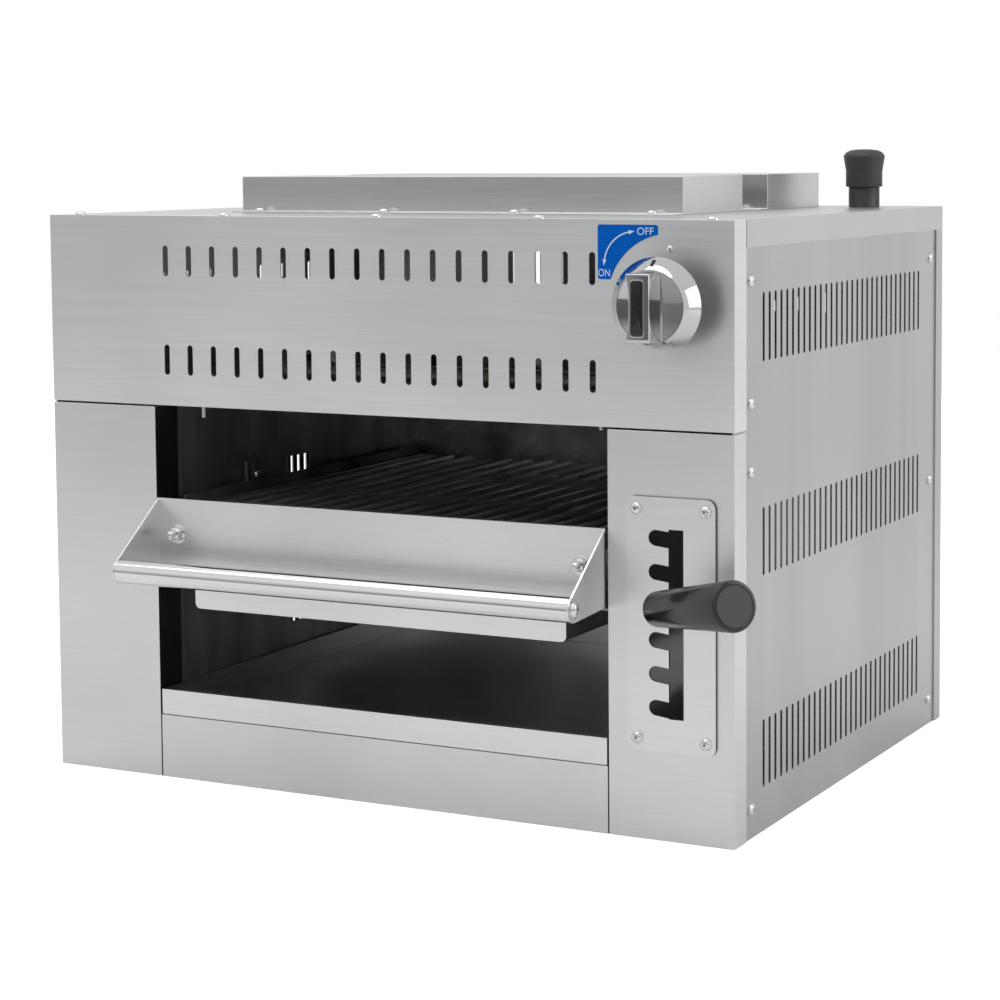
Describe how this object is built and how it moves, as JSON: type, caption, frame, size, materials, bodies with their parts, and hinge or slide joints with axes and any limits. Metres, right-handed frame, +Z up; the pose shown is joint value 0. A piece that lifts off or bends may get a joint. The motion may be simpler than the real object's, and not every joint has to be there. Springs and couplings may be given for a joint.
{
  "type": "gas salamander grill",
  "caption": "Countertop stainless gas grill with overhead infrared burners, a lever-set pull-out grid with drip tray, a crumb tray, a valve knob and a capped gas inlet.",
  "frame": {"origin": "middle of the cabinet's underside", "axes": "+X to the right seen from the front, +Y to the rear, +Z up"},
  "size_m": [0.6573, 0.5837, 0.4995],
  "materials": {
    "brushed_stainless": "brushed",
    "polished_stainless": "polished",
    "chrome_plate": "mirror chrome",
    "black_enamel": "dark heat-resistant",
    "dark_grid_steel": "dark oiled steel",
    "zinc_plated_steel": "zinc plated",
    "heat_mesh": "heat-tinted",
    "burner_ceramic": "porous ceramic",
    "electrode_ceramic": "glazed ceramic",
    "brass": "cast and machined",
    "black_pipe": "blackened",
    "black_rubber": "moulded matt",
    "black_bakelite": "moulded gloss",
    "label_film": "printed film"
  },
  "bodies": {
    "root": {"base_panel": "brushed_stainless", "left_side_panel": "brushed_stainless", "right_side_panel": "brushed_stainless", "rear_panel": "brushed_stainless", "top_panel": "brushed_stainless", "upper_front_panel": "brushed_stainless", "left_front_column": "brushed_stainless", "right_front_column": "brushed_stainless", "lower_front_panel": "brushed_stainless", "left_liner": "black_enamel", "right_liner": "black_enamel", "back_liner": "black_enamel", "tray_runners": "brushed_stainless", "burner_deck": "black_enamel", "burner_housings": "zinc_plated_steel", "ceramic_tiles": "burner_ceramic", "radiant_mesh": "heat_mesh", "ignition_electrode": "electrode_ceramic", "thermocouple": "electrode_ceramic", "gas_valve_body": "brass", "gas_manifold": "zinc_plated_steel", "gas_injectors": "brass", "gas_inlet_pipe": "black_pipe", "inlet_elbow": "brass", "supply_pipe": "zinc_plated_steel", "flue_boxes": "brushed_stainless", "cabinet_screws": "polished_stainless", "gate_plate": "brushed_stainless", "gate_screws": "polished_stainless", "control_label": "label_film", "index_dot": "brushed_stainless", "guide_rods": "zinc_plated_steel", "guide_collars": "zinc_plated_steel", "lever_bracket": "zinc_plated_steel", "lever_pivot_pin": "zinc_plated_steel", "pivot_circlip": "zinc_plated_steel"},
    "carrier": {"left_carrier_rail": "black_enamel", "right_carrier_rail": "black_enamel", "rear_cross_member": "black_enamel", "front_hooks": "black_enamel", "hook_bolts": "zinc_plated_steel", "lift_brackets": "zinc_plated_steel", "drive_pin": "zinc_plated_steel"},
    "rack": {"cooking_grid": "dark_grid_steel", "grid_ears": "dark_grid_steel", "heat_shield": "brushed_stainless", "handle_tube": "polished_stainless", "handle_screws": "polished_stainless", "shield_bolts": "polished_stainless"},
    "drip_tray": {"drip_tray": "brushed_stainless"},
    "crumb_tray": {"crumb_tray": "brushed_stainless"},
    "sleeve": {"pivot_sleeve": "zinc_plated_steel"},
    "lever": {"lever_bar": "zinc_plated_steel", "lever_rod": "polished_stainless", "lever_grip": "black_bakelite"},
    "valve": {"valve_plug": "brass"},
    "knob": {"valve_spindle": "zinc_plated_steel", "knob": "chrome_plate", "knob_insert": "black_bakelite"},
    "inlet_cap": {"inlet_cap": "black_rubber"}
  },
  "joints": [
    {"name": "rack_lift", "type": "slide", "parent": "root", "child": "carrier", "axis": [0, 0, 1], "range_m": [-0.03535, 0.02259]},
    {"name": "rack_pull", "type": "slide", "parent": "carrier", "child": "rack", "axis": [0, -1, 0], "range_m": [0, 0.28]},
    {"name": "drip_tray_pull", "type": "slide", "parent": "carrier", "child": "drip_tray", "axis": [0, -1, 0], "range_m": [0, 0.3]},
    {"name": "crumb_tray_pull", "type": "slide", "parent": "root", "child": "crumb_tray", "axis": [0, -1, 0], "range_m": [0, 0.34]},
    {"name": "lever_swing", "type": "hinge", "parent": "root", "child": "sleeve", "pos_m": [0.2536, 0.155, 0.1103], "axis": [-1, 0, 0], "range_deg": [-11.1, 7.1]},
    {"name": "lever_engage", "type": "slide", "parent": "sleeve", "child": "lever", "axis": [-1, 0, 0], "range_m": [0, 0.0137]},
    {"name": "valve_turn", "type": "hinge", "parent": "root", "child": "valve", "pos_m": [0.2503, -0.23, 0.3902], "axis": [0, -1, 0], "range_deg": [0, 90]},
    {"name": "knob_push", "type": "slide", "parent": "valve", "child": "knob", "axis": [0, 1, 0], "range_m": [0, 0.005], "stiffness_N_per_m": 800},
    {"name": "cap_pull", "type": "slide", "parent": "root", "child": "inlet_cap", "axis": [0, 0, 1], "range_m": [0, 0.04]}
  ],
  "couplings": [
    {"joint": "lever_swing", "follows": "rack_lift", "rad_per_m": 5.42}
  ]
}
